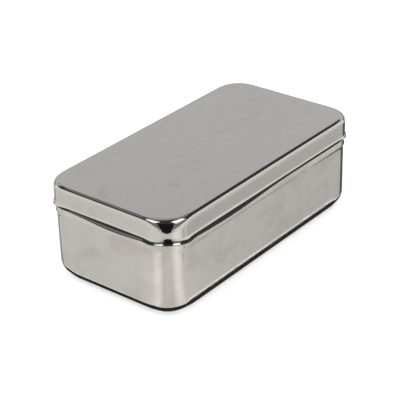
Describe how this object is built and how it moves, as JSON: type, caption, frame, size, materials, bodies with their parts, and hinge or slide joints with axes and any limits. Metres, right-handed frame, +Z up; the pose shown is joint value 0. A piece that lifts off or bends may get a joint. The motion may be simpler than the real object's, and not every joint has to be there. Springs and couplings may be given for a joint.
{
  "type": "instrument box",
  "caption": "Oblong polished stainless steel instrument box with rounded corners and a lift-off lid whose flared lip closes over a shoulder bead on the body.",
  "frame": {"origin": "centre of the underside, on the surface that the box stands on", "axes": "+X along the box, +Y across it, +Z up through the lid"},
  "size_m": [0.2074, 0.1104, 0.0685],
  "materials": {
    "body_steel": "polished",
    "lid_steel": "polished"
  },
  "bodies": {
    "body": {"box_body": "body_steel"},
    "lid": {"lid": "lid_steel"}
  },
  "joints": [
    {"name": "lid_lift", "type": "slide", "parent": "body", "child": "lid", "axis": [0, 0, 1], "range_m": [0, 0.1]}
  ]
}
